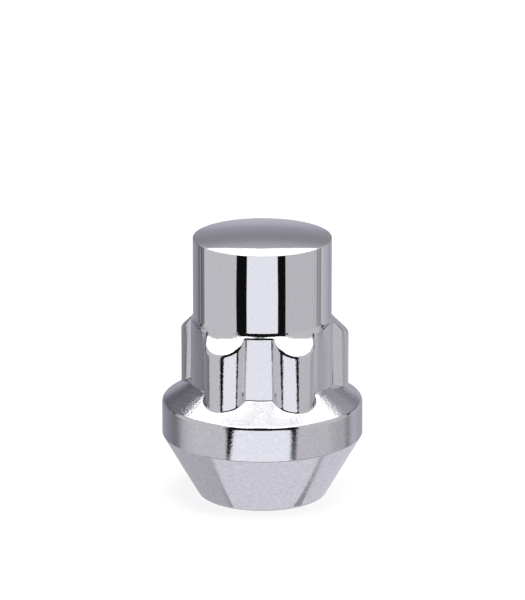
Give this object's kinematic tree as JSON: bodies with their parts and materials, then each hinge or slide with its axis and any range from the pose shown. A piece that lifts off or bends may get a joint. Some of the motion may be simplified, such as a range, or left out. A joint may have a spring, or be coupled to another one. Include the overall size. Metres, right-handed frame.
{
  "type": "locking wheel nut",
  "caption": "Tall chromed wheel nut with a conical seat, a flange band, an uneven lobed key section and a plain domed closed end over a blind threaded hole.",
  "frame": {"origin": "centre of the flat ring at the open end, on the thread axis", "axes": "+Z along the thread axis from the open end to the closed end, -Y towards the front of the picture, +X to its right"},
  "size_m": [0.0254, 0.0254, 0.0342],
  "materials": {
    "chrome_plate": "bright chrome plating over turned and forged steel, satin on the conical seat, grainy on the shoulder"
  },
  "bodies": {
    "root": {"nut_body": "chrome_plate"}
  },
  "joints": []
}
